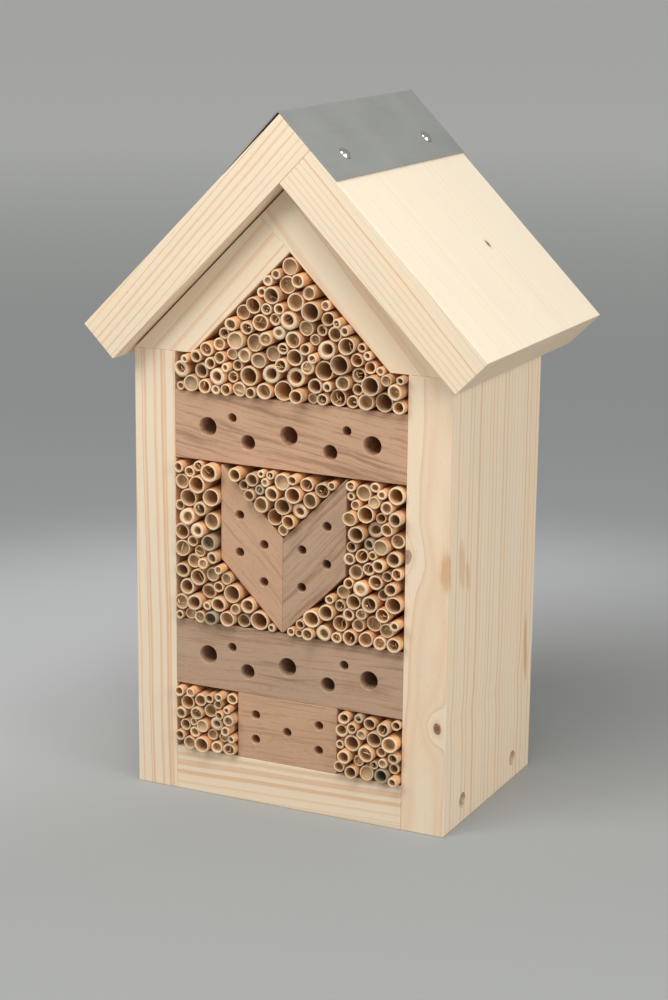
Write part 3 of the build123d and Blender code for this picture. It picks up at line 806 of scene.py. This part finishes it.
def new_bundle(name, points, faces, tints, gloss, material):
    """A smooth object with a colour and a gloss at each corner."""
    made, kept = new_object(name, points, faces, material)
    tint = made.data.attributes.new("tint", "FLOAT_COLOR", "POINT")
    tint.data.foreach_set("color", np.c_[tints[kept], np.ones(len(kept))].ravel())
    sheen = made.data.attributes.new("gloss", "FLOAT", "POINT")
    sheen.data.foreach_set("value", gloss[kept].astype(np.float32))
    made.data.shade_smooth()
    return made


def reed_finish():
    """Reed skin and cut rim: the corners' own tint, with fibres that run front to back."""
    finish = Finish("cut_reed")
    place = finish.place()
    x, y, z = (finish.dot(place, way) / MM for way in (RIGHT, BACKWARD, UP))
    fibre = finish.noise(finish.join(x / 0.32, y / 9, z / 0.32), 3.1, 2, 0.6)
    stain = finish.noise(finish.join(x / 2.5, y / 7, z / 2.5), 8.2, 2, 0.6)
    light = 1 + fibre * 0.34 + stain * 0.3
    return finish.surface(
        Base_Color=finish.dim(finish.attribute("tint", "Color"), light),
        Roughness=finish.attribute("gloss", "Fac") + fibre * 0.2,
        Normal=finish.bump(fibre * 0.03), Specular_IOR_Level=0.4,
    )


def listed(array):
    """A grid of points as one list of them."""
    return array.reshape(-1, array.shape[-1])


class HOTEL_OT_reed_bundles(Operator):
    """Makes the uneven reeds of each bundle in place of the round ones"""

    bl_idname = "hotel.reed_bundles"
    bl_label = "Reed bundles"

    def execute(self, context):
        look = context.scene.hotel_reeds
        material = reed_finish()
        for offset, node in enumerate(sorted(n for n in frame["nodes"] if n.endswith("_reeds"))):
            choice = np.random.default_rng(look.seed + offset)
            reeds = measured_reeds(node)
            by_chance = chances(reeds, look, choice)
            tubes = reed_points(reeds, by_chance, choice)
            tints, gloss = reed_tints(reeds, by_chance, look, choice)
            curls = curl_points(reeds, by_chance, look, choice)
            count, rows = tubes.shape[:2]
            first_curl = count * rows * AROUND
            sides = tube_faces(len(curls), CURL_STATIONS, CURL_CORNERS) + first_curl
            ends = closed_ends(len(curls), CURL_STATIONS, CURL_CORNERS) + first_curl
            faces = np.concatenate([tube_faces(count, rows, AROUND), sides, ends])
            # Painted light: curls are painted up to 35 per cent brighter than the film, for the shade
            # the hollow casts on them.
            curl_tint_painted_light = np.array(look.film) * choice.uniform(1.0, 1.35, (len(listed(curls)), 1))
            tints = np.concatenate([np.repeat(listed(tints), AROUND, axis=0), curl_tint_painted_light])
            gloss = np.concatenate([np.repeat(gloss.ravel(), AROUND), np.full(len(curl_tint_painted_light), 0.7)])
            points = np.concatenate([listed(tubes), listed(curls)])
            piece = new_bundle(node[:-1] + "_bundle", points, faces, tints, gloss, material)
            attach(piece, "root")
            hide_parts(node)
        return {"FINISHED"}


# ---------------------------------------------------------------- metal and back panel


def sheet_metal(name, tone):
    """Dull galvanised sheet: soft clouds, fine rolling lines along it and a few scuffs."""
    finish = Finish(name)
    place = finish.place()
    x, y, z = (finish.dot(place, way) / MM for way in (RIGHT, BACKWARD, UP))
    cloud = finish.noise(finish.join(x / 30, y / 30, z / 30), 1.7, 2)
    rolled = finish.noise(finish.join(x / 0.6, y / 45, z / 0.6), 4.4, 2)
    grit = finish.noise(finish.join(x / 0.7, y / 0.7, z / 0.7), 6.1, 1)
    light = 1 + cloud * 0.3 + rolled * 0.12 + grit * 0.08
    return finish.surface(
        Base_Color=finish.dim(tone, light), Metallic=0.5,
        Roughness=0.62 + cloud * 0.12 + rolled * 0.08, Normal=finish.bump(rolled * 0.01),
    )


def plated(name, tone, roughness):
    """Plated steel with a slightly uneven shine."""
    finish = Finish(name)
    cloud = finish.noise(finish.dim(finish.place(), 0.6 / MM), 2.2, 2)
    light = 1 + cloud * 0.2
    return finish.surface(
        Base_Color=finish.dim(tone, light), Metallic=1.0,
        Roughness=roughness + cloud * 0.15, Normal=finish.bump(cloud * 0.01),
    )


class HOTEL_OT_metalwork(Operator):
    """Finishes the ridge cap, its nails, the hanger and all screws"""

    bl_idname = "hotel.metalwork"
    bl_label = "Metalwork"

    def execute(self, context):
        look = context.scene.hotel_metal
        sheet = sheet_metal("galvanised_sheet", look.sheet)
        for node in ("ridge_cap", "hanger_plate"):
            coat(node, sheet)
        coat("ridge_cap_nails", plated("bright_nail", look.nail, 0.22))
        # The screws' zinc is darkened as painted shade of their holes.
        zinc_and_painted_shade = plated("zinc_screw", look.zinc_and_painted_shade, 0.32)
        for node in frame["nodes"]:
            if node.endswith("screws"):
                coat(node, zinc_and_painted_shade)
        return {"FINISHED"}


def plywood(look, node="back_panel", ply=1.5, ring=9, wander=34):
    """Spruce plywood: a broad peeled figure on the faces and alternate plies at the edges.

    ply is a ply's thickness, ring the figure's spacing and wander its sway, in millimetres.
    """
    finish = Finish("spruce_plywood")
    along, depth, behind = measures(finish, node, UP, RIGHT)
    sway = finish.noise(finish.join(along / 90, depth / 28, 0), 12.5, 2) * wander
    years = (depth + sway) / ring
    share_of_year = finish.math("FRACT", years)
    line = finish.step(share_of_year, 0.3, 0.9) * finish.step(share_of_year, 1.0, 0.92)
    fibre = finish.noise(finish.join(along / 18, depth / 0.6, behind / 0.6), 2.5, 3, 0.6)
    turned = finish.step(finish.math("FRACT", behind / (2 * ply)), 0.46, 0.54)
    edge = 1 - finish.step(finish.facing(BACKWARD), 0.5, 0.8)
    tone = finish.mix(line * 0.45, look.pale, look.line)
    tone = finish.mix(edge * turned * 0.6, tone, look.line)
    light = 0.97 + fibre * 0.14
    return finish.surface(
        Base_Color=finish.dim(tone, light), Normal=finish.bump(fibre * 0.04),
        Roughness=0.62 + fibre * 0.1, Specular_IOR_Level=0.3,
    )


class HOTEL_OT_back_panel(Operator):
    """Gives the back panel its plywood"""

    bl_idname = "hotel.back_panel"
    bl_label = "Back panel"

    def execute(self, context):
        coat("back_panel", plywood(context.scene.hotel_spruce))
        return {"FINISHED"}


# ------------------------------------------------------------------------------- studio


class Lamp(NamedTuple):
    """A square soft lamp, in metres."""

    name: str
    place: tuple
    size: float
    power: str          # which of the studio's powers it takes


LAMPS = (
    Lamp("key_lamp", (-0.65, -0.95, 1.05), 0.6, "key_power"),
    Lamp("top_lamp", (0.1, -0.6, 1.2), 0.6, "top_power"),
    Lamp("fill_lamp", (1.3, -0.4, 0.7), 0.9, "fill_power"),
)
AIM = (0, 0, 0.18)      # about the middle of the hotel, which the lamps are turned to
CLIP_END = 60           # metres, past the far edge of the floor


def soft_lamp(lamp, power):
    """Stands a lamp at its place, turned to the hotel."""
    light = bpy.data.lights.new(lamp.name, "AREA")
    light.size = lamp.size
    light.energy = power
    made = bpy.data.objects.new(lamp.name, light)
    made.location = lamp.place
    made.rotation_euler = (Vector(AIM) - Vector(lamp.place)).to_track_quat("-Z", "Y").to_euler()
    bpy.context.scene.collection.objects.link(made)


def floor_disc(material, rings=48, around=96, reach=16.0):
    """A round floor: at ring s of 0 to 1 the radius is reach * s ** 3, so it is finer near."""
    radius = reach * np.linspace(0, 1, rings)[:, None] ** 3
    turn = np.linspace(0, tau, around, endpoint=False)[None, :]
    grid = [radius * np.cos(turn), radius * np.sin(turn), radius * 0 * turn]
    points = np.stack(grid, axis=-1).reshape(-1, 3)
    return new_object("studio_floor", points, tube_faces(1, rings, around)[:, ::-1], material)[0]


def floor_finish(look):
    """Matt grey paper, darker at the right of the hotel as painted shadow and paler to its left as
    painted light, and changing with the distance from it as painted falloff of light.

    Each change is a smooth step, first in how far leftward a point is, then in how far away.
    """
    finish = Finish("studio_floor")
    place = finish.place()
    away = finish.node("VectorMath", {"operation": "LENGTH"}, {0: place}, "Value")
    leftward = finish.dot(place, (-1, 0.5, 0))
    # Painted shadow to the right of the hotel and painted light to its left, then painted falloff of
    # light with distance.
    tone = finish.mix(finish.step(leftward, -0.05, 0.35), look.floor, look.floor_left_painted_light)
    tone = finish.mix(finish.step(away, 0.38, 0.62), tone, look.floor_behind_painted_shade)
    tone = finish.mix(finish.step(away, 0.5, 3.8), tone, look.floor_far_painted_light)
    return finish.surface(Base_Color=tone, Roughness=0.9, Specular_IOR_Level=0.1)


def studio_world(look):
    """Light from all round, and a plain backdrop for what the camera and gloss see."""
    world = bpy.data.worlds.new("studio")
    bpy.context.scene.world = world
    finish = Finish("studio", world)
    path = [finish.node("LightPath", {}, {}, kind) for kind in (
        "Is Camera Ray", "Is Glossy Ray", "Is Transmission Ray",
    )]
    seen = finish.math("MINIMUM", path[0] + path[1] + path[2], 1.0)
    tree = finish.tree
    light = finish.node("Background", {}, {"Color": (1, 1, 1, 1), "Strength": look.ambient})
    backdrop = finish.node("Background", {}, {"Color": (*look.backdrop, 1), "Strength": 1.0})
    both = finish.node("MixShader", {}, {0: seen, 1: light, 2: backdrop})
    tree.links.new(both.socket, tree.nodes.new("ShaderNodeOutputWorld").inputs[0])


def camera(look):
    """The camera, from its place and the turns of its view."""
    made = bpy.data.objects.new("camera", bpy.data.cameras.new("camera"))
    made.data.lens = look.lens
    made.data.clip_end = CLIP_END
    turned = (
        Matrix.Rotation(look.yaw, 4, "Z")
        @ Matrix.Rotation(radians(90) + look.pitch, 4, "X")
        @ Matrix.Rotation(look.roll, 4, "Z")
    )
    made.matrix_world = Matrix.Translation(look.camera_place) @ turned
    bpy.context.scene.collection.objects.link(made)
    bpy.context.scene.camera = made


class HOTEL_OT_studio(Operator):
    """Sets the floor, the lamps, the backdrop and the camera"""

    bl_idname = "hotel.studio"
    bl_label = "Studio"

    def execute(self, context):
        look = context.scene.hotel_studio
        context.scene.view_settings.view_transform = "Standard"
        floor_disc(floor_finish(look))
        for lamp in LAMPS:
            soft_lamp(lamp, getattr(look, lamp.power))
        studio_world(look)
        camera(look)
        return {"FINISHED"}


# ------------------------------------------------------------------------------ the add-on

STEPS = (
    HOTEL_OT_spruce_boards, HOTEL_OT_hardwood_blocks, HOTEL_OT_reed_bundles, HOTEL_OT_metalwork,
    HOTEL_OT_back_panel, HOTEL_OT_studio,
)
LOOKS = {
    "hotel_spruce": SpruceLook, "hotel_hardwood": HardwoodLook, "hotel_reeds": ReedLook,
    "hotel_metal": MetalLook, "hotel_studio": StudioLook,
}


class HOTEL_PT_panel(Panel):
    """Every size and colour, and the steps that use them"""

    bl_label = "Insect Hotel"
    bl_idname = "HOTEL_PT_panel"
    bl_space_type = "VIEW_3D"
    bl_region_type = "UI"
    bl_category = "Insect Hotel"

    def draw(self, context):
        for name, kind in LOOKS.items():
            box = self.layout.box()
            for prop in kind.__annotations__:
                box.prop(getattr(context.scene, name), prop)
        for step in STEPS:
            self.layout.operator(step.bl_idname)


def register():
    for kind in (*LOOKS.values(), *STEPS, HOTEL_PT_panel):
        bpy.utils.register_class(kind)
    for name, kind in LOOKS.items():
        setattr(bpy.types.Scene, name, PointerProperty(type=kind))


def unregister():
    for name in LOOKS:
        delattr(bpy.types.Scene, name)
    for kind in (HOTEL_PT_panel, *STEPS, *LOOKS.values()):
        bpy.utils.unregister_class(kind)


def main():
    """Runs every step."""
    register()
    for step in STEPS:
        group, name = step.bl_idname.split(".")
        getattr(getattr(bpy.ops, group), name)()


if __name__ == "__main__":
    main()
